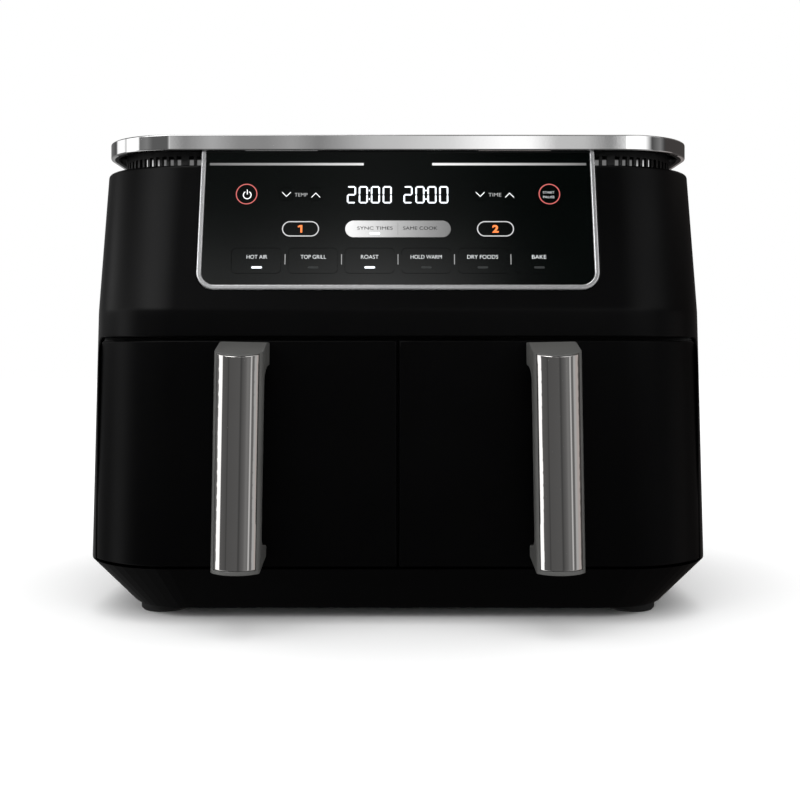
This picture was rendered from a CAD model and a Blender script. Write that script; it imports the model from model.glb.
import bmesh
import bpy
import math
import numpy as np
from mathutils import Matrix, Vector
from mathutils.geometry import delaunay_2d_cdt


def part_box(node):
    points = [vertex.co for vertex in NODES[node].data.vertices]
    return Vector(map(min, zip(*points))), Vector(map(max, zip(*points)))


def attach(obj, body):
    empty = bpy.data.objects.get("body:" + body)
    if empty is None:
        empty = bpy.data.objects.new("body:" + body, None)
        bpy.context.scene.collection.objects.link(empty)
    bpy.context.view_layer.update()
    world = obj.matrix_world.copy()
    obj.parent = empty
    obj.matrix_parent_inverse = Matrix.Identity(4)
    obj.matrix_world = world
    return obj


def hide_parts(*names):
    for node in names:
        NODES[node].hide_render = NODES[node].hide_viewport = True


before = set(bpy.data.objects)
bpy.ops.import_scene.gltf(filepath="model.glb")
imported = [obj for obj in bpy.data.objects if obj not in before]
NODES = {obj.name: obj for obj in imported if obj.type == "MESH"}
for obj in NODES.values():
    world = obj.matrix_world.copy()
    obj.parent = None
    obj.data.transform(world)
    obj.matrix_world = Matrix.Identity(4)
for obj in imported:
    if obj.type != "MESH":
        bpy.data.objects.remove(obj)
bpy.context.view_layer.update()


def span(node):
    """A CAD node's lowest and highest corner, in millimetres."""
    lo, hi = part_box(node)
    return np.array(lo) * 1000, np.array(hi) * 1000


# ---------------------------------------------------------------- sizes, in millimetres
SHELL_LO, SHELL_HI = span("housing")
BELT_HALF, FRONT, REAR = SHELL_HI[0], SHELL_LO[1], SHELL_HI[1]
Z_BELT, Z_SHELL = SHELL_LO[2], SHELL_HI[2]
DRAWER_LO, DRAWER_HI = span("drawer_front_2")
CREASE_RISE = 20.5  # from the drawers' upper edge to where the front starts to slope
Z_CREASE = DRAWER_HI[2] + CREASE_RISE
BAND_LO, BAND_HI = span("top_band")
CORNER, REAR_R = 65.0, 40.0
DRAFT, SLOPE = math.tan(math.radians(1.45)), math.radians(11)
TAN, COS, SIN = math.tan(SLOPE), math.cos(SLOPE), math.sin(SLOPE)
F_LEN = BELT_HALF - CORNER
A_LEN = CORNER * math.pi / 2
L_LEN = REAR - FRONT - CORNER - REAR_R
B_LEN = REAR_R * math.pi / 2
R_LEN = BELT_HALF - REAR_R
S_ALL = F_LEN + A_LEN + L_LEN + B_LEN + R_LEN


def half_w(z):
    return BELT_HALF - DRAFT * (z - Z_BELT)


def face_y(z):
    t = z - Z_CREASE
    return FRONT + TAN * (t + np.sqrt(t * t + 2.0)) / 2 - TAN * 0.1


def body_point(p):
    """Points of the outer body at p = (way round, height)."""
    s, z = p[:, 0], p[:, 1]
    t, side = np.abs(s), np.sign(s)
    half, y0 = half_w(z), face_y(z)
    flat = half - CORNER
    x = t / F_LEN * flat
    y = y0.copy()
    a = np.clip((t - F_LEN) / A_LEN, 0, 1) * math.pi / 2
    m = t > F_LEN
    x = np.where(m, flat + CORNER * np.sin(a), x)
    y = np.where(m, y0 + CORNER * (1 - np.cos(a)), y)
    m = t > F_LEN + A_LEN
    u = np.clip((t - F_LEN - A_LEN) / L_LEN, 0, 1)
    y = np.where(m, y0 + CORNER + u * (REAR - REAR_R - y0 - CORNER), y)
    m = t > F_LEN + A_LEN + L_LEN
    a = np.clip((t - F_LEN - A_LEN - L_LEN) / B_LEN, 0, 1) * math.pi / 2
    x = np.where(m, half - REAR_R + REAR_R * np.cos(a), x)
    y = np.where(m, REAR - REAR_R + REAR_R * np.sin(a), y)
    m = t > S_ALL - R_LEN
    x = np.where(m, (half - REAR_R) * (S_ALL - t) / R_LEN, x)
    return np.stack([x * side, y, z], 1)


def way(x, z):
    """The way round to a point x from the middle of the front."""
    flat = half_w(z) - CORNER
    t = abs(x)
    if t <= flat:
        return math.copysign(t / flat * F_LEN, x)
    return math.copysign(F_LEN + A_LEN * math.asin(min(1, (t - flat) / CORNER)) / (math.pi / 2), x)


def slope_point(p):
    """Points of the sloping front at p = (x, way up the slope)."""
    x, t = p[:, 0], p[:, 1]
    return np.stack([x, FRONT + t * SIN, Z_CREASE + t * COS], 1)


def surface_normal(point, p):
    """The surface's outward directions at p, from small steps along it."""
    e = 0.05
    du = point(p + [e, 0]) - point(p - [e, 0])
    dv = point(p + [0, e]) - point(p - [0, e])
    n = np.cross(du, dv)
    return n / np.linalg.norm(n, axis=1)[:, None]


# ---------------------------------------------------------------- meshes
def make(name, verts, faces, normals=None, body=None, material=None, smooth=True):
    """A mesh object from points in millimetres, riding on a body."""
    mesh = bpy.data.meshes.new(name)
    mesh.from_pydata([tuple(v) for v in np.asarray(verts) * 0.001], [], faces)
    mesh.update()
    if smooth:
        mesh.shade_smooth()
    if normals is not None:
        mesh.normals_split_custom_set_from_vertices([tuple(n) for n in normals])
    obj = bpy.data.objects.new(name, mesh)
    bpy.context.scene.collection.objects.link(obj)
    if material:
        mesh.materials.append(material)
    if body:
        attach(obj, body)
    return obj


def offset(loop, amount):
    """The loop moved to its left by amount on each edge."""
    nxt = np.roll(loop, -1, 0) - loop
    ln = np.maximum(np.linalg.norm(nxt, axis=1), 1e-9)
    n2 = np.stack([-nxt[:, 1], nxt[:, 0]], 1) / ln[:, None]
    n1, r2, r1 = np.roll(n2, 1, 0), amount, np.roll(amount, 1)
    det = n1[:, 0] * n2[:, 1] - n1[:, 1] * n2[:, 0]
    safe = np.where(np.abs(det) < 0.02, 1, det)
    v = np.stack([(r1 * n2[:, 1] - r2 * n1[:, 1]) / safe, (n1[:, 0] * r2 - n2[:, 0] * r1) / safe], 1)
    mean = (n1 + n2) / 2 * ((r1 + r2) / 2)[:, None]
    v = np.where((np.abs(det) < 0.02)[:, None], mean, v)
    return loop + v


def inside(points, loops):
    """Which points lie inside an odd number of the loops."""
    got = np.zeros(len(points), bool)
    for loop in loops:
        a, b = loop, np.roll(loop, -1, 0)
        for (x0, y0), (x1, y1) in zip(a, b):
            cross = (y0 > points[:, 1]) != (y1 > points[:, 1])
            if y1 != y0:
                got ^= cross & (points[:, 0] < (x1 - x0) * (points[:, 1] - y0) / (y1 - y0) + x0)
    return got


def away(points, loops):
    """Each point's distance from the nearest edge of the loops."""
    best = np.full(len(points), 1e9)
    for loop in loops:
        a, b = loop, np.roll(loop, -1, 0)
        d = b - a
        for p0, dd in zip(a, d):
            q = points - p0
            t = np.clip((q @ dd) / max(dd @ dd, 1e-9), 0, 1)
            best = np.minimum(best, np.linalg.norm(q - t[:, None] * dd, axis=1))
    return best


def fill(loops, grid):
    """Triangles between loops, with the grid's points inside; returns points and faces."""
    bound = np.concatenate(loops)
    edges, k = [], 0
    for loop in loops:
        n = len(loop)
        edges += [(k + i, k + (i + 1) % n) for i in range(n)]
        k += n
    pts = grid[inside(grid, loops)] if len(grid) else grid
    if len(pts):
        pts = pts[away(pts, loops) > 1.2]
    every = np.concatenate([bound, pts]) if len(pts) else bound
    out = delaunay_2d_cdt([Vector(p) for p in every], edges, [], 0, 1e-6)
    cos, faces, back = np.array([tuple(v) for v in out[0]]), out[2], out[3]
    ids = [b[0] if b else 0 for b in back]
    centre = np.array([cos[list(f)].mean(0) for f in faces])
    keep = inside(centre, loops)
    made = []
    for f, k in zip(faces, keep):
        if not k:
            continue
        a, b, c = (cos[i] for i in f[:3])
        f = [ids[i] for i in f]
        made.append(f if (b[0] - a[0]) * (c[1] - a[1]) - (b[1] - a[1]) * (c[0] - a[0]) > 0 else f[::-1])
    return every, made


def sheet(name, loops, point, radius, depth, body, material, grid=(), seams=(), proud=0.0, back_y=None):
    """A panel on a surface. Loops are the outline, anticlockwise, then the holes, clockwise.
    Its edges are rounded by radius, one value or one for each edge, and its walls run depth in."""
    steps = 4
    verts, normals, faces, tops = [], [], [], []
    grid = np.array(grid, float).reshape(-1, 2)
    count = 0
    for k, loop in enumerate(loops):
        loop = np.array(loop, float)
        n = len(loop)
        r = np.full(n, float(radius)) if np.isscalar(radius) else np.array(radius, float)
        if k == 0 and len(seams):
            r[list(seams)] = 0
        shut = r <= 0
        inner = offset(loop, r)
        probe = offset(loop, np.where(r > 0, 0.05, 0))
        rv = np.maximum(r, np.roll(r, 1))
        base = point(loop)
        nrm = surface_normal(point, loop)
        out = base - point(probe)
        out /= np.maximum(np.linalg.norm(out, axis=1), 1e-9)[:, None]
        rings = []
        wall = base - nrm * (depth - proud)
        if back_y is not None:
            mid = base - nrm * (rv - proud)[:, None]
            wall = mid.copy()
            wall[:, 1] = back_y
        rings.append((wall, out))
        for j in range(steps + 1):
            a = j / steps * math.pi / 2
            flat = loop + (inner - loop) * (1 - math.cos(a))
            down = rv * (1 - math.sin(a)) - proud
            place = point(flat) - surface_normal(point, flat) * down[:, None]
            rings.append((place, out * math.cos(a) + nrm * math.sin(a)))
        for place, nn in rings:
            verts.append(place)
            normals.append(nn)
        for j in range(len(rings) - 1):
            lo, hi = count + j * n, count + (j + 1) * n
            for i in range(n):
                if not shut[i]:
                    i2 = (i + 1) % n
                    faces.append((lo + i, lo + i2, hi + i2, hi + i))
        tops.append((inner, count + (len(rings) - 1) * n))
        count += len(rings) * n
    flat, tri = fill([t[0] for t in tops], grid)
    index = []
    for inner, start in tops:
        index += list(range(start, start + len(inner)))
    extra = flat[len(index):]
    index += list(range(count, count + len(extra)))
    if len(extra):
        nn = surface_normal(point, extra)
        verts.append(point(extra) + nn * proud)
        normals.append(nn)
    faces += [tuple(index[i] for i in f) for f in tri]
    n = np.concatenate(normals)
    n /= np.maximum(np.linalg.norm(n, axis=1), 1e-9)[:, None]
    return make(name, np.concatenate(verts), faces, n, body, material)


def arc(cx, cy, r, a0, a1, n=8, ry=None):
    """Points on an arc or part of an ellipse, both ends included; angles in degrees."""
    ry = r if ry is None else ry
    return [(cx + r * math.cos(math.radians(a0 + (a1 - a0) * i / n)),
             cy + ry * math.sin(math.radians(a0 + (a1 - a0) * i / n))) for i in range(n + 1)]


def run(p0, p1, n):
    """Points from p0 towards p1, without the last."""
    return [(p0[0] + (p1[0] - p0[0]) * i / n, p0[1] + (p1[1] - p0[1]) * i / n) for i in range(n)]


def rounded(w, h, r, cx=0.0, cy=0.0, n=8):
    """A rectangle with round corners, anticlockwise."""
    x, y = w / 2 - r, h / 2 - r
    return (arc(cx + x, cy - y, r, -90, 0, n) + arc(cx + x, cy + y, r, 0, 90, n)
            + arc(cx - x, cy + y, r, 90, 180, n) + arc(cx - x, cy - y, r, 180, 270, n))


# ---------------------------------------------------------------- materials
def surface(name, colour, rough, metal=0.0, mottle=0.12, mottle_scale=35.0, grain=900.0, bump=0.02,
            smudge=0.06, smudge_scale=14.0, coat=0.0, specular=0.5, brushed=None, anisotropy=0.0,
            second=None):
    """A surface with colour mottling, uneven roughness and a fine grain."""
    m = bpy.data.materials.new(name)
    m.use_nodes = True
    nt = m.node_tree
    nt.nodes.clear()
    out = nt.nodes.new("ShaderNodeOutputMaterial")
    b = nt.nodes.new("ShaderNodeBsdfPrincipled")
    nt.links.new(b.outputs[0], out.inputs[0])
    where = nt.nodes.new("ShaderNodeTexCoord")
    stretch = nt.nodes.new("ShaderNodeMapping")
    nt.links.new(where.outputs["Object"], stretch.inputs[0])
    stretch.inputs["Scale"].default_value = brushed or (1, 1, 1)

    def noise(scale, detail, source):
        n = nt.nodes.new("ShaderNodeTexNoise")
        n.inputs["Scale"].default_value = scale
        n.inputs["Detail"].default_value = detail
        nt.links.new(source, n.inputs["Vector"])
        return n.outputs["Fac"]

    plain = where.outputs["Object"]
    mix = nt.nodes.new("ShaderNodeMix")
    mix.data_type = "RGBA"
    c = list(colour)
    other = list(second) if second else [x * (1 + 2 * mottle) for x in c]
    mix.inputs["A"].default_value = c + [1]
    mix.inputs["B"].default_value = other + [1]
    spread = nt.nodes.new("ShaderNodeMapRange")
    spread.inputs["From Min"].default_value = 0.35
    spread.inputs["From Max"].default_value = 0.65
    nt.links.new(noise(mottle_scale, 4, plain), spread.inputs["Value"])
    nt.links.new(spread.outputs[0], mix.inputs["Factor"])
    nt.links.new(mix.outputs["Result"], b.inputs["Base Color"])
    vary = nt.nodes.new("ShaderNodeMapRange")
    vary.inputs["From Min"].default_value = 0.3
    vary.inputs["From Max"].default_value = 0.7
    vary.inputs["To Min"].default_value = max(0.0, rough - smudge / 2)
    vary.inputs["To Max"].default_value = rough + smudge / 2
    nt.links.new(noise(smudge_scale, 3, stretch.outputs[0] if brushed else plain), vary.inputs["Value"])
    nt.links.new(vary.outputs[0], b.inputs["Roughness"])
    if bump:
        bp = nt.nodes.new("ShaderNodeBump")
        bp.inputs["Strength"].default_value = bump
        bp.inputs["Distance"].default_value = 0.0004
        nt.links.new(noise(grain, 2, stretch.outputs[0]), bp.inputs["Height"])
        nt.links.new(bp.outputs[0], b.inputs["Normal"])
    b.inputs["Metallic"].default_value = metal
    b.inputs["Coat Weight"].default_value = coat
    b.inputs["Coat Roughness"].default_value = 0.03
    b.inputs["Specular IOR Level"].default_value = specular
    b.inputs["Anisotropic"].default_value = anisotropy
    return m


def glow(name, colour, strength, dim=0.85):
    """A lit legend: a bright colour that is slightly uneven."""
    m = surface(name, [x * 0.6 for x in colour], 0.35, mottle=0.05, bump=0.0)
    nt = m.node_tree
    b = next(n for n in nt.nodes if n.type == "BSDF_PRINCIPLED")
    mix = nt.nodes.new("ShaderNodeMix")
    mix.data_type = "RGBA"
    mix.inputs["A"].default_value = [x * dim for x in colour] + [1]
    mix.inputs["B"].default_value = list(colour) + [1]
    n = nt.nodes.new("ShaderNodeTexNoise")
    n.inputs["Scale"].default_value = 180
    where = next(x for x in nt.nodes if x.type == "TEX_COORD")
    nt.links.new(where.outputs["Object"], n.inputs["Vector"])
    nt.links.new(n.outputs["Fac"], mix.inputs["Factor"])
    nt.links.new(mix.outputs["Result"], b.inputs["Emission Color"])
    b.inputs["Emission Strength"].default_value = strength
    return m


def fade(name, stops, rough=0.35, metal=0.2, light=0.0):
    """A silver print whose brightness changes across the object; stops are (x in metres, brightness)."""
    m = surface(name, (0.5, 0.5, 0.5), rough, metal, mottle=0.03, bump=0.02, grain=1500)
    nt = m.node_tree
    b = next(n for n in nt.nodes if n.type == "BSDF_PRINCIPLED")
    where = next(n for n in nt.nodes if n.type == "TEX_COORD")
    mix = next(n for n in nt.nodes if n.type == "MIX")
    split = nt.nodes.new("ShaderNodeSeparateXYZ")
    nt.links.new(where.outputs["Object"], split.inputs[0])
    reach = nt.nodes.new("ShaderNodeMapRange")
    lo, hi = stops[0][0], stops[-1][0]
    reach.inputs["From Min"].default_value = lo
    reach.inputs["From Max"].default_value = hi
    nt.links.new(split.outputs["X"], reach.inputs["Value"])
    ramp = nt.nodes.new("ShaderNodeValToRGB")
    e = ramp.color_ramp.elements
    while len(e) < len(stops):
        e.new(0.5)
    for k, (x, _) in enumerate(stops):
        e[k].position = (x - lo) / (hi - lo)
    for k, (_, v) in enumerate(stops):
        e[k].color = (v, v, v, 1)
    nt.links.new(reach.outputs[0], ramp.inputs[0])
    both = nt.nodes.new("ShaderNodeMix")
    both.data_type = "RGBA"
    both.blend_type = "MULTIPLY"
    both.inputs["Factor"].default_value = 1.0
    nt.links.new(ramp.outputs[0], both.inputs["A"])
    mix.inputs["A"].default_value = (0.96, 0.96, 0.96, 1)
    mix.inputs["B"].default_value = (1.0, 1.0, 1.0, 1)
    nt.links.new(mix.outputs["Result"], both.inputs["B"])
    nt.links.new(both.outputs["Result"], b.inputs["Base Color"])
    if light:
        nt.links.new(both.outputs["Result"], b.inputs["Emission Color"])
        b.inputs["Emission Strength"].default_value = light
    return m


def lid_surface():
    """Black plastic whose underside catches the light that comes in at the vents."""
    m = surface("lid_black", (0.0009, 0.0009, 0.001), 0.42, mottle=0.12, bump=0.08, grain=2200, specular=0.2)
    nt = m.node_tree
    b = next(n for n in nt.nodes if n.type == "BSDF_PRINCIPLED")
    where = next(n for n in nt.nodes if n.type == "TEX_COORD")
    split = nt.nodes.new("ShaderNodeSeparateXYZ")
    nt.links.new(where.outputs["Object"], split.inputs[0])
    facing = nt.nodes.new("ShaderNodeSeparateXYZ")
    shape = nt.nodes.new("ShaderNodeNewGeometry")
    nt.links.new(shape.outputs["True Normal"], facing.inputs[0])

    def step(value, a, b_, lo=0.0, hi=1.0):
        n = nt.nodes.new("ShaderNodeMapRange")
        n.interpolation_type = "SMOOTHSTEP"
        for key, v in (("From Min", a), ("From Max", b_), ("To Min", lo), ("To Max", hi)):
            n.inputs[key].default_value = v
        nt.links.new(value, n.inputs["Value"])
        return n.outputs[0]

    def times(a, c):
        n = nt.nodes.new("ShaderNodeMath")
        n.operation = "MULTIPLY"
        nt.links.new(a, n.inputs[0])
        nt.links.new(c, n.inputs[1])
        return n.outputs[0]

    side = nt.nodes.new("ShaderNodeMath")
    side.operation = "ABSOLUTE"
    nt.links.new(split.outputs["X"], side.inputs[0])
    down = nt.nodes.new("ShaderNodeMath")
    down.operation = "LESS_THAN"
    down.inputs[1].default_value = -0.7
    nt.links.new(facing.outputs["Z"], down.inputs[0])
    glow_ = times(down.outputs[0], times(step(split.outputs["Y"], -0.033, -0.027),
                                         times(step(side.outputs[0], 0.135, 0.148),
                                               step(side.outputs[0], 0.176, 0.19, 0.16, 0.85))))
    b.inputs["Emission Color"].default_value = (1, 1, 1, 1)
    nt.links.new(glow_, b.inputs["Emission Strength"])
    return m


M = {
    "lid": lid_surface(),
    "line": fade("line_silver", [(-0.127, 0.13), (-0.07, 0.3), (-0.026, 0.62), (-0.023, 0.7), (0.023, 0.8),
                                 (0.05, 0.6), (0.127, 0.13)], light=0.25),
    "body": surface("body_black", (0.0006, 0.0006, 0.0007), 0.32, mottle=0.12, bump=0.05, grain=2600,
                    smudge=0.05, specular=0.1),
    "drawer": surface("drawer_black", (0.0005, 0.0005, 0.0006), 0.36, mottle=0.12, bump=0.04, grain=2600,
                      specular=0.07),
    "base": surface("base_black", (0.0004, 0.0004, 0.0005), 0.45, bump=0.1, grain=1800, specular=0.05),
    "frame": surface("frame_black", (0.006, 0.006, 0.0062), 0.5, bump=0.1, grain=1500),
    "rubber": surface("foot_rubber", (0.008, 0.008, 0.008), 0.75, bump=0.25, grain=1200, specular=0.3),
    "silicone": surface("silicone_grey", (0.14, 0.14, 0.145), 0.6, bump=0.15, grain=900),
    "chrome": surface("bright_chrome", (0.81, 0.79, 0.775), 0.035, 1.0, mottle=0.01, bump=0.006, grain=420,
                      smudge=0.03, brushed=(1, 1, 0.04), smudge_scale=60),
    "band": surface("band_metal", (0.79, 0.79, 0.79), 0.03, 1.0, mottle=0.01, bump=0.006, grain=500,
                    smudge=0.03, smudge_scale=30),
    "bezel": surface("bezel_silver", (0.6, 0.6, 0.61), 0.22, 0.75, mottle=0.03, bump=0.02, grain=1500),
    "panel": surface("panel_black", (0.0009, 0.0015, 0.0013), 0.09, mottle=0.1, bump=0.0, smudge=0.05,
                     smudge_scale=9, coat=0.4),
    "key": surface("key_black", (0.0009, 0.0015, 0.0013), 0.09, mottle=0.1, bump=0.0, smudge=0.05,
                   smudge_scale=9, coat=0.4),
    "pill": fade("key_silver", [(-0.035, 0.85), (-0.028, 0.78), (0.0, 0.42), (0.02, 0.27), (0.035, 0.18)],
                 0.3, 0.1),
    "handle": surface("handle_grey", (0.075, 0.075, 0.072), 0.42, mottle=0.08, bump=0.08, grain=2400),
    "nonstick": surface("nonstick", (0.016, 0.016, 0.017), 0.38, mottle=0.15, bump=0.12, grain=1600,
                        smudge=0.12),
    "steel": surface("chamber_steel", (0.42, 0.42, 0.43), 0.34, 1.0, mottle=0.08, bump=0.08, grain=300,
                     brushed=(1, 12, 1), smudge=0.12),
    "wire": surface("guard_wire", (0.6, 0.6, 0.61), 0.22, 1.0, mottle=0.06, bump=0.03),
    "heater": surface("heater_tube", (0.05, 0.042, 0.038), 0.5, 0.6, mottle=0.4, mottle_scale=90, bump=0.2,
                      grain=700),
    "motor": surface("motor_metal", (0.42, 0.42, 0.44), 0.36, 1.0, mottle=0.08, bump=0.06, grain=600),
    "shaft": surface("shaft_steel", (0.55, 0.55, 0.56), 0.2, 1.0, mottle=0.05, bump=0.03, brushed=(1, 1, 20)),
    "fan_metal": surface("hot_fan_metal", (0.5, 0.5, 0.52), 0.38, 1.0, mottle=0.1, bump=0.06),
    "fan": surface("fan_black", (0.02, 0.02, 0.022), 0.42, bump=0.05),
    "board": surface("board_green", (0.012, 0.075, 0.032), 0.32, mottle=0.3, mottle_scale=160,
                     bump=0.1, grain=400),
    "power": surface("power_board", (0.17, 0.09, 0.03), 0.4, mottle=0.3, mottle_scale=120, bump=0.1,
                     grain=400),
    "display": surface("display_block", (0.012, 0.012, 0.014), 0.3, bump=0.02),
    "screw": surface("screw_steel", (0.5, 0.5, 0.5), 0.3, 1.0, mottle=0.1, bump=0.05),
    "legend": glow("legend_white", (0.86, 0.88, 0.89), 0.95),
    "letter": glow("letter_white", (0.70, 0.72, 0.73), 0.7),
    "digit": glow("digit_white", (0.90, 0.95, 1.0), 1.0),
    "orange": glow("legend_orange", (0.95, 0.22, 0.05), 0.8),
    "red": glow("ring_red", (0.62, 0.13, 0.12), 0.5),
    "print": surface("print_dark", (0.004, 0.004, 0.0045), 0.45, mottle=0.1, bump=0.0, specular=0.1),
    "faint": surface("legend_faint", (0.022, 0.024, 0.024), 0.3, mottle=0.1, bump=0.0),
    "silver": surface("print_silver", (0.66, 0.66, 0.67), 0.3, 0.25, mottle=0.05, bump=0.01),
    "divider": surface("print_grey", (0.26, 0.26, 0.26), 0.35, mottle=0.1, bump=0.01),
    "dim": glow("legend_dim", (0.5, 0.51, 0.51), 0.35),
}


def slotted(obj):
    return obj


def dress(node, key, bevel=0.0):
    """A CAD node shown as it is, with a surface, smooth where it curves and rounded at its edges."""
    o = NODES[node]
    o.data.materials.clear()
    o.data.materials.append(M[key])
    for p in o.data.polygons:
        p.material_index = 0
    o.data.shade_smooth()
    if bevel:
        d = o.modifiers.new("flat", "DECIMATE")
        d.decimate_type = "DISSOLVE"
        d.angle_limit = math.radians(0.6)
        b = o.modifiers.new("round", "BEVEL")
        b.width = bevel * 0.001
        b.segments = 2
        b.limit_method = "ANGLE"
        b.angle_limit = math.radians(38)
        b.harden_normals = False
    o.data.set_sharp_from_angle(angle=math.radians(32))
    w = o.modifiers.new("weight", "WEIGHTED_NORMAL")
    w.keep_sharp = True
    return o


# ---------------------------------------------------------------- housing
PANEL_MARGIN, PANEL_RISE = 82.5, 13
PANEL_HALF, PANEL_TAPER = BELT_HALF - PANEL_MARGIN, 0.9
BEZEL_W, BEZEL_R, BEZEL_PROUD, BEZEL_DEPTH = 3.2, 12.0, 1.2, 3.4
PANEL_LOW = PANEL_RISE / COS
PANEL_HIGH = (BAND_LO[2] - 0.3 - Z_CREASE) / COS


def panel_side(grow, n=10):
    """The bezel's right side and corner, from the middle of its lower edge upward."""
    low, r = PANEL_HALF + grow, BEZEL_R + grow
    turn = math.degrees(math.atan(PANEL_TAPER / (PANEL_HIGH - PANEL_LOW)))
    bend = arc(low - r, PANEL_LOW - grow + r, r, -90, turn, n)
    return bend, (low - PANEL_TAPER, PANEL_HIGH)


def at(x, z):
    return (way(x, z), z)


def mirror(points):
    return [(-x, y) for x, y in reversed(points)]


def housing():
    gap, top = 1.5, DRAWER_HI[2] + 2.5
    z0, z1 = Z_BELT + 0.25, Z_SHELL
    rear_half = BELT_HALF - DRAFT * (Z_SHELL - Z_BELT) - REAR_R - 10
    rear_top = Z_SHELL - 14

    def rear(x, z):
        return (S_ALL - x / (half_w(z) - REAR_R) * R_LEN, z)

    edge = DRAWER_HI[0] + gap
    rx = 10.5 * 0.52
    # the right half, from the middle of the drawers' opening round to the back, then along the top
    right = [at(x, top) for x in np.linspace(0, edge - rx - 6, 28)]
    right += [at(x, z) for x, z in reversed(arc(edge - rx, top - 10.5, rx, 0, 90, 8, 10.5))]
    right += [at(edge, z) for z in np.linspace(top - 20, z0 + 3, 12)] + [at(edge, z0)]
    right += [(s, z0) for s in np.linspace(way(edge, z0) + 3, S_ALL - R_LEN, 40)]
    right += [rear(rear_half, z) for z in [z0, *np.linspace(z0 + 4, rear_top, 16)]]
    right += [rear(x, rear_top) for x in np.linspace(rear_half - 8, 0, 12)]
    right += [(S_ALL, z1)]
    bend, high = panel_side(0.1)
    notch = [(x, Z_CREASE + t * COS) for x, t in bend]
    t1 = (z1 - Z_CREASE) / COS
    x1 = bend[-1][0] + (high[0] - bend[-1][0]) * (t1 - bend[-1][1]) / (high[1] - bend[-1][1])
    right += [(s, z1) for s in np.linspace(S_ALL - 10, way(x1, z1) + 3, 90)]
    right += [at(x1, z1)]
    right += [at(x, z) for x, z in reversed(notch + run(notch[-1], (x1, z1), 8)[1:])]
    right += [at(x, notch[0][1]) for x in np.linspace(notch[0][0] - 8, 0, 14)]
    full = right + [(-s, z) for s, z in reversed(right[1:-1])]
    full = np.array(full)
    # going down the right side of the opening and back over the top: clockwise or not
    area = 0.5 * np.sum(full[:, 0] * np.roll(full[:, 1], -1) - np.roll(full[:, 0], -1) * full[:, 1])
    if area < 0:
        full = full[::-1]
    seams = []
    radius = np.full(len(full), 1.0)
    for i in range(len(full)):
        a, b = full[i], full[(i + 1) % len(full)]
        if abs(abs(a[0]) - S_ALL) < 1e-6 and abs(abs(b[0]) - S_ALL) < 1e-6:
            seams.append(i)
        elif abs(a[1] - z1) < 1e-6 and abs(b[1] - z1) < 1e-6:
            radius[i] = 2.2
        elif a[1] < z0 + 0.01 and b[1] < z0 + 0.01:
            radius[i] = 0.6
    zs = sorted(set(list(np.arange(Z_BELT + 6, Z_SHELL - 4, 9))
                    + [Z_CREASE + d for d in (-4, -2, -1, 0, 1, 2, 4)]))
    ss = list(np.arange(-F_LEN, F_LEN + 1, 10.0))
    ss += [k * (F_LEN + A_LEN * i / 18) for k in (-1, 1) for i in range(19)]
    ss += [k * (F_LEN + A_LEN + L_LEN * i / 12) for k in (-1, 1) for i in range(13)]
    ss += [k * (F_LEN + A_LEN + L_LEN + B_LEN * i / 12) for k in (-1, 1) for i in range(13)]
    ss += [k * (S_ALL - R_LEN * i / 12) for k in (-1, 1) for i in range(13)]
    grid = [(s, z) for s in sorted(set(np.round(ss, 4))) for z in zs]
    o = sheet("housing_skin", [full], body_point, radius, 13.5, "body", M["body"], grid, seams)
    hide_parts("housing")
    slotted(o)


housing()


# ---------------------------------------------------------------- drawers
def drawer(n):
    k = 1 if n == 2 else -1
    x0, edge = DRAWER_LO[0], DRAWER_HI[0]
    z0, z1 = DRAWER_LO[2], DRAWER_HI[2]
    rx = 10.5 * 0.52
    pts = [at(x, z0) for x in np.linspace(x0, edge - 2, 30)] + [at(edge, z0)]
    pts += [at(edge, z) for z in np.linspace(z0 + 3, z1 - 14, 16)]
    pts += [at(x, z) for x, z in arc(edge - rx, z1 - 10.5, rx, 0, 90, 10, 10.5)]
    pts += [at(x, z1) for x in np.linspace(edge - rx - 4, x0, 28)]
    pts += [at(x0, z) for z in np.linspace(z1 - 4, z0 + 4, 14)]
    pts = np.array(pts)
    if k < 0:
        pts = pts[::-1] * [-1, 1]
    zs = np.arange(z0 + 5, z1, 10)
    ss = list(np.arange(x0 + 6, F_LEN, 10.0)) + [F_LEN + A_LEN * i / 20 for i in range(21)]
    grid = [(k * s, z) for s in ss for z in zs]
    o = sheet(f"drawer_skin_{n}", [pts], body_point, 1.1, 3.0, f"drawer_{n}", M["drawer"], grid,
              back_y=DRAWER_HI[1])
    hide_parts(f"drawer_front_{n}")
    slotted(o)


drawer(1)
drawer(2)


# ---------------------------------------------------------------- handles
REACH = DRAWER_LO[1] - span("handle_core_2")[0][1]
H_Z0, H_Z1 = DRAWER_LO[2] + 3, DRAWER_HI[2] - 1
H_W, H_BOW, BAR_T, FLANGE, RIM, BARE = 30.5, 9.0, 18.0, 2.6, 0.8, 2.1
H_FRONT = FRONT - REACH
BAR_BACK = H_FRONT + BAR_T
BOW_R = (H_W ** 2 / 4 + H_BOW ** 2) / (2 * H_BOW)
CAP = math.tan(math.radians(15.5))
DROP = (BAR_BACK + 12 - H_FRONT) * CAP
H_X = np.mean(span("handle_cover_2"), 0)[0]
LEAN = math.radians(1)


def lean(v, k):
    """Leans and places handle points drawn about x = 0."""
    zc = (H_Z0 + H_Z1) / 2
    x, z = v[:, 0], v[:, 2] - zc
    nx = x * math.cos(LEAN) - z * math.sin(LEAN) + H_X
    nz = x * math.sin(LEAN) + z * math.cos(LEAN) + zc
    return np.stack([k * nx, v[:, 1], nz], 1)


def bow_front(x):
    """How far forward the handle's round front is at x."""
    return H_FRONT + BOW_R - math.sqrt(BOW_R * BOW_R - x * x)


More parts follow.
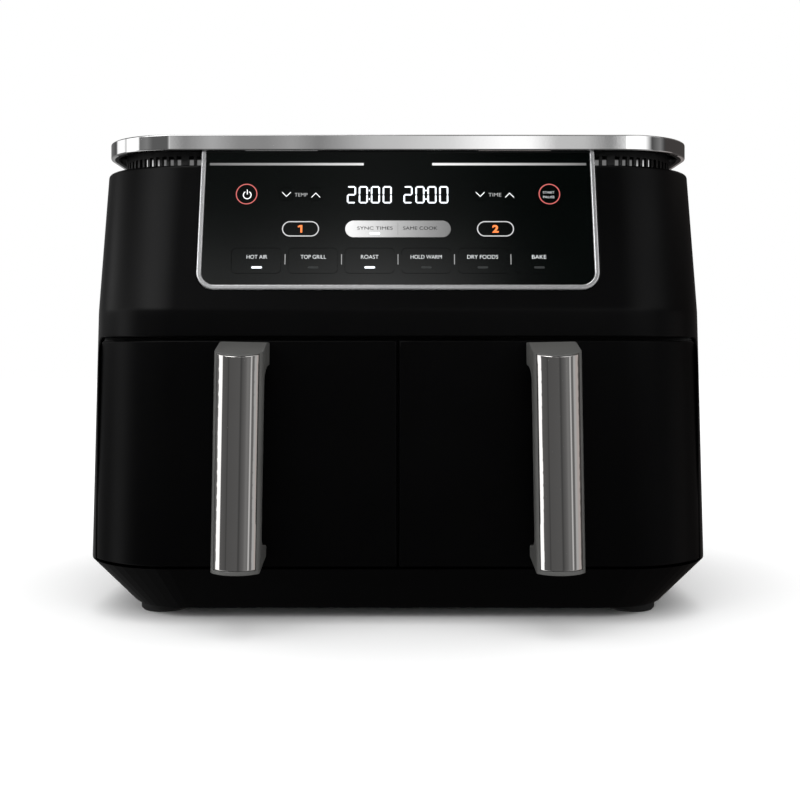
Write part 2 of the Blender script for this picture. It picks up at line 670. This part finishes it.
def handle_cover(n):
    k = 1 if n == 2 else -1
    end = math.asin((H_W / 2 - BARE) / BOW_R)

    def point(p):
        a = p[:, 0] / BOW_R
        v = np.stack([BOW_R * np.sin(a), H_FRONT + BOW_R - BOW_R * np.cos(a), p[:, 1]], 1)
        return lean(v, k)

    def top(a):
        return H_Z1 - DROP - RIM - 0.05 + (BOW_R - BOW_R * math.cos(a)) * CAP

    z0 = H_Z0 + FLANGE + 0.15
    s1 = end * BOW_R
    pts = [(s, z0) for s in np.linspace(-s1, s1, 41)]
    pts += [(s1, z) for z in np.linspace(z0, top(end), 20)[1:-1]]
    pts += [(a * BOW_R, top(a)) for a in np.linspace(end, -end, 41)]
    pts += [(-s1, z) for z in np.linspace(top(end), z0, 20)[1:-1]]
    pts = np.array(pts)
    if k < 0:
        pts = pts[::-1] * [-1, 1]
        mirrored = point

        def point(p):
            return mirrored(p * [-1, 1])
    ss = np.linspace(-s1 + 1.6, s1 - 1.6, 36)
    grid = [(s, z) for s in ss for z in np.arange(z0 + 5, top(0) - 3, 8)]
    o = sheet(f"handle_bright_{n}", [pts], point, 0.5, 1.15, f"drawer_{n}", M["chrome"], grid)
    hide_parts(f"handle_cover_{n}")
    slotted(o)


def solid(name, slices, body, material, bevel):
    """A solid from rings of the same number of points; it is closed with its end rings."""
    m, n = len(slices), len(slices[0])
    verts = np.concatenate(slices)
    faces = [(k * n + i, k * n + (i + 1) % n, (k + 1) * n + (i + 1) % n, (k + 1) * n + i)
             for k in range(m - 1) for i in range(n)]
    faces += [tuple(range(n))[::-1], tuple((m - 1) * n + i for i in range(n))]
    o = make(name, verts, faces, None, body, material)
    mesh = o.data
    bm = bmesh.new()
    bm.from_mesh(mesh)
    bmesh.ops.recalc_face_normals(bm, faces=bm.faces)
    bm.to_mesh(mesh)
    bm.free()
    mesh.shade_smooth()
    b = o.modifiers.new("round", "BEVEL")
    b.width = bevel * 0.001
    b.segments = 3
    b.limit_method = "ANGLE"
    b.angle_limit = math.radians(35)
    b.harden_normals = True
    mesh.set_sharp_from_angle(angle=math.radians(60))
    return o


def handle_core(n):
    k = 1 if n == 2 else -1
    foot_z, scoop = H_Z0 + 4, 10.0
    low = [(BAR_BACK + (FRONT - BAR_BACK) * (1 - math.cos(math.radians(a))),
            foot_z + 8 + scoop * (1 - math.sin(math.radians(a)))) for a in np.linspace(90, 0, 13)]
    high = [(BAR_BACK + (FRONT - BAR_BACK) * (1 - math.cos(math.radians(a))),
             H_Z1 - 15 - scoop * (1 - math.sin(math.radians(a)))) for a in np.linspace(0, 90, 13)]
    xs = np.linspace(-H_W / 2, H_W / 2, 29)
    rings, caps, feet = [], [], []
    for x in xs:
        y = bow_front(x) + 1.3
        zt = H_Z1 - DROP + (y - H_FRONT) * CAP
        prof = [(y, H_Z0 + FLANGE - 0.4), (BAR_BACK - 4, H_Z0), (FRONT, foot_z)] + low + high
        prof += [(FRONT, H_Z1), (BAR_BACK + 12, H_Z1), (y, zt - RIM + 0.1)]
        rings.append(np.array([(x, a, b) for a, b in prof]))
        y = bow_front(x)
        zt = H_Z1 - DROP + (y - H_FRONT) * CAP
        back = BAR_BACK + 11
        zb = H_Z1 - DROP + (back - H_FRONT) * CAP
        caps.append(np.array([(x, y, zt - RIM), (x, back, zb - RIM), (x, back, zb - 0.02), (x, y, zt)]))
        feet.append(np.array([(x, y, H_Z0), (x, BAR_BACK - 5, H_Z0), (x, BAR_BACK - 5, H_Z0 + FLANGE),
                              (x, y, H_Z0 + FLANGE)]))
    body = f"drawer_{n}"
    o = solid(f"handle_bar_{n}", [lean(r, k) for r in rings], body, M["handle"], 0.9)
    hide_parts(f"handle_core_{n}")
    slotted(o)
    slotted(solid(f"handle_cap_{n}", [lean(r, k) for r in caps], body, M["handle"], 0.25))
    slotted(solid(f"handle_toe_{n}", [lean(r, k) for r in feet], body, M["handle"], 0.5))
    for side in (-1, 1):
        strip = []
        for x in np.linspace(H_W / 2 - BARE + 0.1, H_W / 2, 3):
            y = bow_front(x)
            zt = H_Z1 - DROP + (y - H_FRONT) * CAP - 0.15
            strip.append(np.array([(side * x, y, H_Z0 + 0.4), (side * x, y + 2.4, H_Z0 + 0.4),
                                   (side * x, y + 2.4, zt), (side * x, y, zt)]))
        edge = solid(f"handle_edge_{n}_{side + 1}", [lean(r, k) for r in strip], body, M["handle"], 0.4)
        slotted(edge)


for n in (1, 2):
    handle_cover(n)
    handle_core(n)


# ---------------------------------------------------------------- band and bezel
def outline(half, y0, y1, rf, rr, n=24):
    """The band's outer line from above, with its outward directions."""
    pts, nrm = [], []
    for cx, cy, r, a0 in ((half - rr, y1 - rr, rr, 0), (-half + rr, y1 - rr, rr, 90),
                          (-half + rf, y0 + rf, rf, 180), (half - rf, y0 + rf, rf, 270)):
        for i in range(n + 1):
            a = math.radians(a0 + 90 * i / n)
            pts.append((cx + r * math.cos(a), cy + r * math.sin(a)))
            nrm.append((math.cos(a), math.sin(a)))
    return np.array(pts), np.array(nrm)


def band():
    half, y0, y1 = BAND_HI[0], BAND_LO[1], BAND_HI[1]
    pts, nrm = outline(half, y0, y1, 51, 37)
    z0, z1, t, r = BAND_LO[2], BAND_HI[2], 2.75, 0.9
    prof, pn = [], []
    small = 0.4  # radius of the inner edges
    for cx, cz, rr, start in ((r, z0 + r, r, 270), (r, z1 - r, r, 180),
                              (t - small, z1 - small, small, 90), (t - small, z0 + small, small, 0)):
        for i in range(5):
            a = math.radians(start - 90 * i / 4)
            prof.append((cx + rr * math.cos(a), cz + rr * math.sin(a)))
            pn.append((math.cos(a), math.sin(a)))
    m, n = len(pts), len(prof)
    verts, normals, faces = [], [], []
    for (px, py), (nx, ny) in zip(pts, nrm):
        for (d, z), (a, b) in zip(prof, pn):
            verts.append((px - nx * d, py - ny * d, z))
            normals.append((-nx * a, -ny * a, b))
    for i in range(m):
        for j in range(n):
            i2, j2 = (i + 1) % m, (j + 1) % n
            faces.append((i * n + j, i2 * n + j, i2 * n + j2, i * n + j2))
    o = make("band_bright", verts, faces, normals, "body", M["band"])
    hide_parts("top_band")
    slotted(o)


band()


def bezel():
    bend, high = panel_side(-0.02, 16)
    inner, high_in = panel_side(-BEZEL_W, 14)
    side = run(bend[-1], high, 10)[1:] + [high]
    side_in = run(inner[-1], high_in, 10)[1:] + [high_in]
    x0, x1 = bend[0][0], inner[0][0]
    low = [(x, bend[0][1]) for x in np.linspace(-x0, x0, 25)[1:-1]]
    low_in = [(x, inner[0][1]) for x in np.linspace(x1, -x1, 25)[1:-1]]
    out = mirror(bend + side)
    loop = out + low + bend + side
    loop += list(reversed(inner + side_in)) + low_in + [(-x, y) for x, y in inner + side_in]
    o = sheet("bezel_bright", [np.array(loop)], slope_point, 0.9, BEZEL_DEPTH, "body", M["bezel"],
              proud=BEZEL_PROUD)
    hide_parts("fascia_bezel")
    slotted(o)


bezel()

# ---------------------------------------------------------------- legends on the fascia
FLOOR = PANEL_LOW + BEZEL_W
ROW_LOW, ROW_MID, ROW_HIGH = FLOOR + 16.5, FLOOR + 38.3, FLOOR + 62.1
COLUMN = (PANEL_HALF - BEZEL_W - 17.8) / 3
OUTER, INNER = 2.7 * COLUMN, 1.735 * COLUMN


def raise_plane(up):
    """The sloping front's surface, lifted by up."""
    def point(p):
        v = slope_point(p)
        v[:, 1] -= COS * up
        v[:, 2] += SIN * up
        return v
    return point


def decal(name, loops, up, body, key):
    """A flat piece of print, lit or silver, just above the fascia or a key."""
    flat, tri = fill([np.array(x, float) for x in loops], np.zeros((0, 2)))
    o = make(name, raise_plane(up)(flat), tri, None, body, M[key], smooth=False)
    return o


def ring(cx, cy, r, w, n=40):
    """A round line of width w."""
    return [arc(cx, cy, r, 0, 360, n)[:-1], list(reversed(arc(cx, cy, r - w, 0, 360, n)[:-1]))]


def pill_ring(cx, cy, w, h, t):
    """A line of width t round a pill shape."""
    r = h / 2
    a = rounded(w, h, r - 0.001, cx, cy, 12)
    b = rounded(w - 2 * t, h - 2 * t, r - t - 0.001, cx, cy, 12)
    return [a, list(reversed(b))]


def box_loop(x0, y0, x1, y1):
    return [(x0, y0), (x1, y0), (x1, y1), (x0, y1)]


def words(name, string, cx, cy, height, up, body, key, width, bold=0.0):
    """A word in the built-in letter shapes, as a flat mesh."""
    curve = bpy.data.curves.new(name + "_c", "FONT")
    curve.body = string
    curve.align_x = "CENTER"
    curve.align_y = "CENTER"
    curve.size = height * 1.38
    curve.offset = bold
    curve.resolution_u = 6
    temp = bpy.data.objects.new(name + "_t", curve)
    bpy.context.scene.collection.objects.link(temp)
    bpy.context.view_layer.update()
    mesh = bpy.data.meshes.new_from_object(temp.evaluated_get(bpy.context.evaluated_depsgraph_get()))
    bpy.data.objects.remove(temp)
    bpy.data.curves.remove(curve)
    co = np.array([tuple(v.co) for v in mesh.vertices])
    faces = [tuple(p.vertices) for p in mesh.polygons]
    bpy.data.meshes.remove(mesh)
    co[:, 1] -= (co[:, 1].min() + co[:, 1].max()) / 2
    co[:, 0] -= (co[:, 0].min() + co[:, 0].max()) / 2
    stretch = width / (co[:, 0].max() * 2)
    p = np.stack([co[:, 0] * stretch + cx, co[:, 1] + cy], 1)
    return make(name, raise_plane(up)(p), faces, None, body, M[key], smooth=False)


UP, UP_KEY = 0.05, 0.36

# power and start
for name, x, body in (("power", -OUTER, "power_button"), ("start", OUTER, "start_button")):
    key_x = np.mean(span(f"{name}_key"), 0)[0]
    decal(f"{name}_ring", ring(key_x, ROW_HIGH + 0.5, 7.2, 0.65), UP, body, "red")
stem = 2.9
power = arc(-OUTER, ROW_HIGH - 0.2, stem, 60, -240, 30)
power += list(reversed(arc(-OUTER, ROW_HIGH - 0.2, stem - 0.6, 60, -240, 30)))
decal("power_mark", [list(reversed(power))], UP, "power_button", "legend")
decal("power_bar", [box_loop(-OUTER - 0.3, ROW_HIGH + 0.2, -OUTER + 0.3, ROW_HIGH + 3.6)], UP,
      "power_button", "legend")
words("start_word", "START", OUTER, ROW_HIGH + 1.6, 1.75, UP, "start_button", "letter", 7.6, -0.03)
words("pause_word", "PAUSE", OUTER, ROW_HIGH - 1.6, 1.75, UP, "start_button", "letter", 7.6, -0.03)


def chevron(x, y, up, w=2.9, h=1.5, t=0.5):
    """An arrow head that points up or down."""
    k = 1 if up else -1
    a = [(x - w, y - k * h), (x, y + k * h), (x + w, y - k * h)]
    b = [(x - w, y - k * (h + t * 1.3)), (x, y + k * (h - t * 1.3)), (x + w, y - k * (h + t * 1.3))]
    loop = a + list(reversed(b))
    return loop if not up else loop[::-1]


for side, name in ((-1, "temp"), (1, "time")):
    cx = side * INNER
    decal(f"{name}_down_mark", [chevron(cx - 9.8, ROW_HIGH, False)], UP, f"{name}_down_button", "legend")
    decal(f"{name}_up_mark", [chevron(cx + 9.8, ROW_HIGH, True)], UP, f"{name}_up_button", "legend")
    words(f"{name}_word", name.upper(), cx, ROW_HIGH, 2.6, UP, "body", "dim", 8.6, -0.03)

# digits
SEGMENTS = {"0": "abcdef", "1": "bc", "2": "abged", "8": "abcdefg"}


def digit(name, char, cx, cy, w=6.1, h=12.1, t=1.05):
    """One lit digit of the display, from its segments."""
    g = 0.07  # half the gap between segments
    hw, hh = w / 2, h / 2

    def bar(x0, x1, y):
        return [(x0 + g, y), (x0 + t / 2 + g, y - t / 2), (x1 - t / 2 - g, y - t / 2), (x1 - g, y),
                (x1 - t / 2 - g, y + t / 2), (x0 + t / 2 + g, y + t / 2)]

    def post(x, y0, y1):
        return [(x, y0 + g), (x + t / 2, y0 + t / 2 + g), (x + t / 2, y1 - t / 2 - g), (x, y1 - g),
                (x - t / 2, y1 - t / 2 - g), (x - t / 2, y0 + t / 2 + g)]

    a, b = hw - t / 2, hh - t / 2
    shapes = {"a": bar(-a, a, b), "g": bar(-a, a, 0), "d": bar(-a, a, -b), "f": post(-a, 0, b),
              "b": post(a, 0, b), "e": post(-a, -b, 0), "c": post(a, -b, 0)}
    verts, faces = [], []
    for s in SEGMENTS[char]:
        k = len(verts)
        verts += [(cx + x, cy + y) for x, y in shapes[s]]
        faces.append(tuple(range(k, k + 6)))
    make(name, raise_plane(UP)(np.array(verts)), faces, None, "body", M["digit"], smooth=False)


for i, (char, x) in enumerate((("2", -31.1), ("0", -23.2), ("0", -15.1), ("0", -7.2),
                               ("2", 6.7), ("0", 14.7), ("0", 22.7), ("0", 30.6))):
    digit(f"digit_{i}", char, x, ROW_HIGH)
for i, x in enumerate((-19.15, 18.7)):
    for j, y in enumerate((-3.0, 3.0)):
        dot = box_loop(x - 0.45, ROW_HIGH + y - 0.55, x + 0.45, ROW_HIGH + y + 0.55)
        decal(f"colon_{i}_{j}", [dot], UP, "body", "digit")

# zone keys and the long silver key
for n, side in ((1, -1), (2, 1)):
    decal(f"zone_ring_{n}", pill_ring(side * INNER, ROW_MID, 24.6, 10.6, 0.7), UP_KEY,
          f"zone_{n}_button", "silver")
x, y = -INNER, ROW_MID
decal("zone_digit_1", [[(x - 0.1, y - 2.6), (x + 1.2, y - 2.6), (x + 1.2, y + 2.6), (x - 0.4, y + 2.6),
                        (x - 1.9, y + 1.9), (x - 1.5, y + 0.9), (x - 0.1, y + 1.3)]],
      UP_KEY, "zone_1_button", "orange")
words("zone_digit_2", "2", INNER, ROW_MID, 5.0, UP_KEY, "zone_2_button", "orange", 4.2, 0.28)
words("sync_word", "SYNC TIMES", -15.3, ROW_MID + 0.5, 2.3, UP_KEY, "sync_rocker", "print", 23.6)
words("match_word", "SAME COOK", 14.8, ROW_MID + 0.5, 2.3, UP_KEY, "sync_rocker", "print", 22.8)
decal("sync_line", [box_loop(-0.25, ROW_MID - 4.2, 0.05, ROW_MID + 4.2)], UP_KEY, "sync_rocker", "divider")
decal("sync_lamp", [rounded(6.9, 1.4, 0.6, -15.4, ROW_MID - 3.2, 4)], UP_KEY, "sync_rocker", "digit")

# six programs
PROGRAMS = (("fry", "HOT AIR", 13.6), ("grill", "TOP GRILL", 16.8), ("roast", "ROAST", 11.6),
            ("warm", "HOLD WARM", 20.6), ("dry", "DRY FOODS", 20.4), ("bake", "BAKE", 9.4))
for i, (name, word, width) in enumerate(PROGRAMS):
    x = (i - 2.5) * COLUMN
    body = f"{name}_button"
    words(f"{name}_word", word, x, ROW_LOW + 2.6, 2.75, UP, body, "letter", width, -0.03)
    lit = i in (0, 2)
    decal(f"{name}_lamp", [rounded(7.0, 1.5, 0.7, x, ROW_LOW - 4.6, 4)], UP, body,
          "digit" if lit else "faint")
    if i < 5:
        xx = x + COLUMN / 2
        decal(f"divider_{i}", [box_loop(xx - 0.3, ROW_LOW - 2.6, xx + 0.3, ROW_LOW + 4.4)], UP,
              "body", "divider")

# bright lines near the top
for side in (-1, 1):
    xa, xb = side * 23.0, side * 126.5
    x0, x1 = min(xa, xb), max(xa, xb)
    decal(f"top_line_{side + 1}", [box_loop(x0, PANEL_HIGH - 10.0, x1, PANEL_HIGH - 8.3)], UP, "body", "line")

# ---------------------------------------------------------------- CAD nodes shown as they are
PLAIN = {
    "front_frame": ("frame", 0.4), "base_pan": ("base", 0.9), "rear_cover": ("body", 0.5),
    "exhaust_bezels": ("body", 0.5), "rear_screws": ("screw", 0.0), "cord_gland": ("frame", 0.0),
    "feet": ("rubber", 0.0), "vent_ring": ("frame", 0.0), "top_cover": ("lid", 0.0), "fascia": ("panel", 0.0),
    "display_module": ("display", 0.3), "control_board": ("board", 0.0), "sync_key": ("pill", 0.3),
    "motor_deck": ("steel", 0.0), "power_board": ("power", 0.3),
}
for name in ("power", "start", "temp_down", "temp_up", "time_down", "time_up", "zone_1", "zone_2",
             "fry", "grill", "roast", "warm", "dry", "bake"):
    PLAIN[f"{name}_key"] = ("key", 0.0)
for n in (1, 2):
    PLAIN.update({
        f"chamber_{n}": ("steel", 0.5), f"heater_coil_{n}": ("heater", 0.0),
        f"heater_guard_{n}": ("wire", 0.0),
        f"motor_{n}": ("motor", 0.0), f"motor_shaft_{n}": ("shaft", 0.0), f"hot_fan_{n}": ("fan_metal", 0.0),
        f"cooling_fan_{n}": ("fan", 0.0), f"drawer_liner_{n}": ("frame", 0.4),
        f"drawer_pan_{n}": ("nonstick", 0.35),
        f"crisper_plate_{n}": ("nonstick", 0.0), f"plate_bumpers_{n}": ("silicone", 0.4),
    })
for name, (key, bevel) in PLAIN.items():
    dress(name, key, bevel)

# ---------------------------------------------------------------- studio
scene = bpy.context.scene


# What each height of the studio shows in a reflection, as (azimuth, brightness).
LOW = [(-180, 0.34), (-125, 0.2), (-104, 0.12), (-93, 0.12), (-91, 1.3), (-71, 1.3), (-69, 0.11),
       (-45, 0.085), (-41, 0.055), (-37, 0.09), (5, 0.10), (11, 0.055), (17, 0.09), (30, 0.13),
       (38, 0.19), (46, 0.18), (49, 0.15), (51.5, 0.55), (56, 0.55), (58, 0.14), (67, 0.14), (70, 0.42),
       (96, 0.46), (100, 0.08), (140, 0.08), (180, 0.34)]
BAND = [(-180, 0.30), (-122, 0.08), (-116, 1.2), (-97, 1.3), (-93, 0.6), (-89, 1.4), (-66, 1.4),
        (-63, 0.18), (-50, 0.24), (-40, 0.12), (-16, 0.12), (-12.5, 0.80), (-11.4, 0.20), (-10.9, 0.45),
        (-9.6, 0.5), (-7.8, 0.2), (-6, 0.4), (-5.2, 0.4), (-3.8, 0.2), (-2.2, 0.55), (0, 0.64),
        (3, 0.84), (5.2, 1.25), (7.6, 1.25), (8.5, 0.58), (10, 0.62), (11.2, 0.2), (12.2, 1.4),
        (43, 1.4), (55, 0.08), (71, 0.24), (80, 0.06)]
HIGH = [(-180, 0.30), (-80, 0.25), (-62, 2.5), (-52, 5.5), (-30, 5.5), (-17, 0.35), (-9.6, 0.33),
        (-5, 0.55), (-2, 0.82), (1, 0.62), (3, 0.46), (7, 0.06), (10, 0.01), (24, 0.05), (34, 1.7),
        (60, 1.7), (80, 0.25), (180, 0.30)]
RISE = [(0, 1.0), (25.4, 1.0), (27.4, 0.44), (28.9, 0.21), (30.7, 0.13), (36, 0.13), (50, 0.5),
        (70, 1.0), (90, 1.0)]


def studio():
    """The studio's walls, seen only in reflections."""
    bpy.ops.mesh.primitive_uv_sphere_add(segments=64, ring_count=32, radius=20, location=(0, 0, 0.16))
    o = bpy.context.object
    o.name = "studio_walls"
    m = bpy.data.materials.new("studio_walls")
    m.use_nodes = True
    m.cycles.emission_sampling = "NONE"
    nt = m.node_tree
    nt.nodes.clear()

    def math_node(kind, a, b=0.0):
        n = nt.nodes.new("ShaderNodeMath")
        n.operation = kind
        for i, v in enumerate((a, b)):
            if isinstance(v, (int, float)):
                n.inputs[i].default_value = v
            else:
                nt.links.new(v, n.inputs[i])
        return n.outputs[0]

    def ramp(stops, value, low, high):
        n = nt.nodes.new("ShaderNodeValToRGB")
        e = n.color_ramp.elements
        while len(e) < len(stops):
            e.new(0.5)
        for k, (at_, v) in enumerate(stops):
            e[k].position = (at_ - low) / (high - low)
        for k, (at_, v) in enumerate(stops):
            e[k].color = (v, v, v, 1)
        nt.links.new(value, n.inputs[0])
        return n.outputs[0]

    def step(value, a, b):
        n = nt.nodes.new("ShaderNodeMapRange")
        n.interpolation_type = "SMOOTHSTEP"
        n.inputs["From Min"].default_value = a
        n.inputs["From Max"].default_value = b
        nt.links.new(value, n.inputs["Value"])
        return n.outputs[0]

    where = nt.nodes.new("ShaderNodeTexCoord")
    unit = nt.nodes.new("ShaderNodeVectorMath")
    unit.operation = "NORMALIZE"
    nt.links.new(where.outputs["Object"], unit.inputs[0])
    split = nt.nodes.new("ShaderNodeSeparateXYZ")
    nt.links.new(unit.outputs[0], split.inputs[0])
    x, y, z = split.outputs
    degree = 180 / math.pi
    azimuth = math_node("MULTIPLY", math_node("ARCTAN2", x, math_node("MULTIPLY", y, -1.0)), degree)
    rise = math_node("MULTIPLY", math_node("ARCSINE", z), degree)
    round_ = math_node("ADD", math_node("DIVIDE", azimuth, 360.0), 0.5)
    up = math_node("MAXIMUM", math_node("DIVIDE", rise, 90.0), 0.0)
    low, mid = ramp(LOW, round_, -180, 180), ramp(BAND, round_, -180, 180)
    high = math_node("MULTIPLY", ramp(HIGH, round_, -180, 180), ramp(RISE, up, 0, 90))
    k1, k2 = step(rise, 3.5, 6.5), step(rise, 14.0, 18.0)

    def blend(below, above, k):
        rest = math_node("MULTIPLY", below, math_node("SUBTRACT", 1.0, k))
        return math_node("ADD", rest, math_node("MULTIPLY", above, k))

    b = blend(blend(low, mid, k1), high, k2)
    warm = nt.nodes.new("ShaderNodeMix")
    warm.data_type = "RGBA"
    warm.inputs["A"].default_value = (1, 1, 1, 1)
    warm.inputs["B"].default_value = (1.0, 0.91, 0.88, 1)
    nt.links.new(step(azimuth, 78.0, 84.0), warm.inputs["Factor"])
    e = nt.nodes.new("ShaderNodeEmission")
    nt.links.new(warm.outputs["Result"], e.inputs["Color"])
    nt.links.new(b, e.inputs["Strength"])
    out = nt.nodes.new("ShaderNodeOutputMaterial")
    nt.links.new(e.outputs[0], out.inputs[0])
    o.data.materials.append(m)
    o.data.shade_smooth()
    o.visible_camera = False
    o.visible_diffuse = False
    o.visible_shadow = False
    o.visible_transmission = False
    o.visible_volume_scatter = False


studio()

world = bpy.data.worlds.new("studio")
world.use_nodes = True
world.node_tree.nodes["Background"].inputs[0].default_value = (1, 1, 1, 1)
world.node_tree.nodes["Background"].inputs[1].default_value = 1.0
scene.world = world

FLOOR_HALF, FLOOR_Z = 6000, -0.2
white = surface("floor_white", (0.93, 0.93, 0.93), 0.6, mottle=0.0, bump=0.0, specular=0.0)
corners = [(x * FLOOR_HALF, y * FLOOR_HALF, FLOOR_Z) for x, y in ((-1, -1), (1, -1), (1, 1), (-1, 1))]
floor = make("floor", corners, [(0, 1, 2, 3)], None, None, white, smooth=False)
floor.visible_glossy = False


def lamp(name, location, target, size, power):
    """A square lamp that reflections don't show."""
    data = bpy.data.lights.new(name, "AREA")
    data.energy = power
    data.shape = "SQUARE"
    data.size = size
    o = bpy.data.objects.new(name, data)
    scene.collection.objects.link(o)
    o.location = location
    o.rotation_mode = "QUATERNION"
    o.rotation_quaternion = (Vector(target) - Vector(location)).to_track_quat("-Z", "Y")
    o.visible_glossy = False
    return o


lamp("lamp_top", (0, -0.3, 2.2), (0, 0, 0), 2.2, 7)
lamp("lamp_left", (-1.6, -1.3, 1.3), (0, 0, 0.1), 1.2, 3)
sky = bpy.data.lights.new("sky_soft", "SUN")
sky.energy = 0.9
sky.angle = math.radians(70)
sky_holder = bpy.data.objects.new("sky_soft", sky)
scene.collection.objects.link(sky_holder)
sky_holder.rotation_euler = (math.radians(28), math.radians(-6), 0)
sky_holder.visible_glossy = False

camera = bpy.data.cameras.new("camera")
camera.lens = 50
camera.sensor_width = 36
camera.shift_x = 0.0025
camera.shift_y = -0.0625
camera.clip_start = 0.05
view = bpy.data.objects.new("camera", camera)
scene.collection.objects.link(view)
VIEW_BACK, VIEW_UP = 728, 0.1803  # millimetres in front of the body, metres above the counter
view.location = (0, (FRONT - VIEW_BACK) * 0.001, VIEW_UP)
view.rotation_euler = (math.pi / 2, 0, 0)
scene.camera = view
scene.view_settings.view_transform = "Standard"
